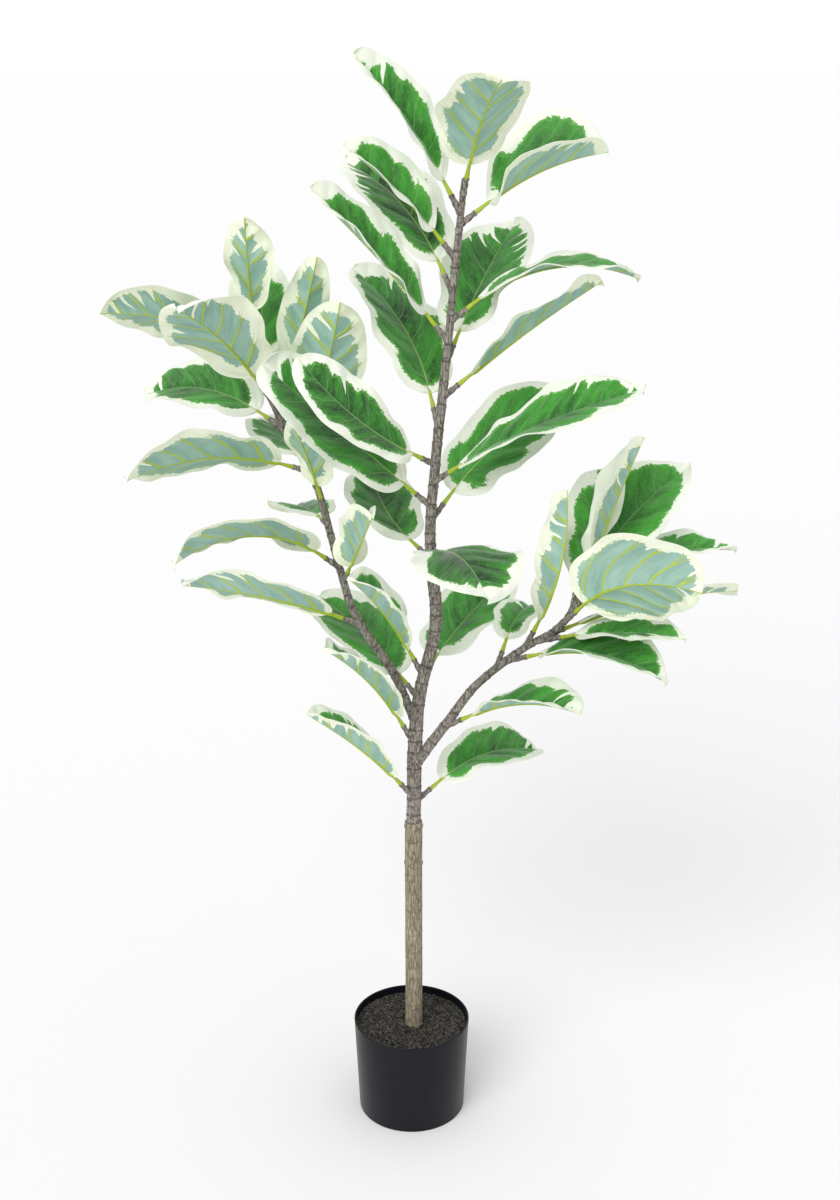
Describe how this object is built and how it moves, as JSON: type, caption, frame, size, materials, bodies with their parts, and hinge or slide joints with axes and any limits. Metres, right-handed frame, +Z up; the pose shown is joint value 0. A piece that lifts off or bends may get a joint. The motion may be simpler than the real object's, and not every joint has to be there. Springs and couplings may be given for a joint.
{
  "type": "potted fiddle leaf fig",
  "caption": "Tall potted fiddle leaf fig with a bare trunk, two side branches and broad cream-edged green leaves, standing in a round black nursery pot.",
  "frame": {"origin": "centre of the pot's underside, on the surface that the pot stands on", "axes": "+Z up along the trunk, -Y towards the side that the plant is seen from, +X to that viewer's right"},
  "size_m": [0.7547, 0.4067, 1.3373],
  "materials": {
    "pot_plastic": "near-black moulded nursery plastic, satin",
    "filling": "dark cast filling with a rough, granular top like potting soil",
    "trunk_bark": "khaki bark sleeve with fine upright grain, matte",
    "stem_bark": "grey-brown moulded bark with pits and rings, matte",
    "leaf": "printed leaf fabric: green middle, cream margin, yellow-green veins, pale blue-green underside, satin"
  },
  "bodies": {
    "root": {"leaf_left_01": "leaf", "leaf_left_02": "leaf", "leaf_left_03": "leaf", "leaf_left_04": "leaf", "leaf_left_05": "leaf", "leaf_left_06": "leaf", "leaf_left_07": "leaf", "leaf_left_08": "leaf", "leaf_left_09": "leaf", "leaf_left_10": "leaf", "leaf_left_11": "leaf", "leaf_left_12": "leaf", "leaf_left_13": "leaf", "leaf_left_14": "leaf", "leaf_main_01": "leaf", "leaf_main_02": "leaf", "leaf_main_03": "leaf", "leaf_main_04": "leaf", "leaf_main_05": "leaf", "leaf_main_06": "leaf", "leaf_main_07": "leaf", "leaf_main_08": "leaf", "leaf_main_09": "leaf", "leaf_main_10": "leaf", "leaf_main_11": "leaf", "leaf_main_12": "leaf", "leaf_main_13": "leaf", "leaf_main_14": "leaf", "leaf_main_15": "leaf", "leaf_main_16": "leaf", "leaf_main_17": "leaf", "leaf_main_18": "leaf", "leaf_main_19": "leaf", "leaf_main_20": "leaf", "leaf_main_21": "leaf", "leaf_main_22": "leaf", "leaf_right_01": "leaf", "leaf_right_02": "leaf", "leaf_right_03": "leaf", "leaf_right_04": "leaf", "leaf_right_05": "leaf", "leaf_right_06": "leaf", "leaf_right_07": "leaf", "leaf_right_08": "leaf", "leaf_right_09": "leaf", "leaf_right_10": "leaf", "leaf_right_11": "leaf", "left_branch": "stem_bark", "main_stem": "stem_bark", "pot": "pot_plastic", "right_branch": "stem_bark", "soil": "filling", "trunk": "trunk_bark"}
  },
  "joints": []
}
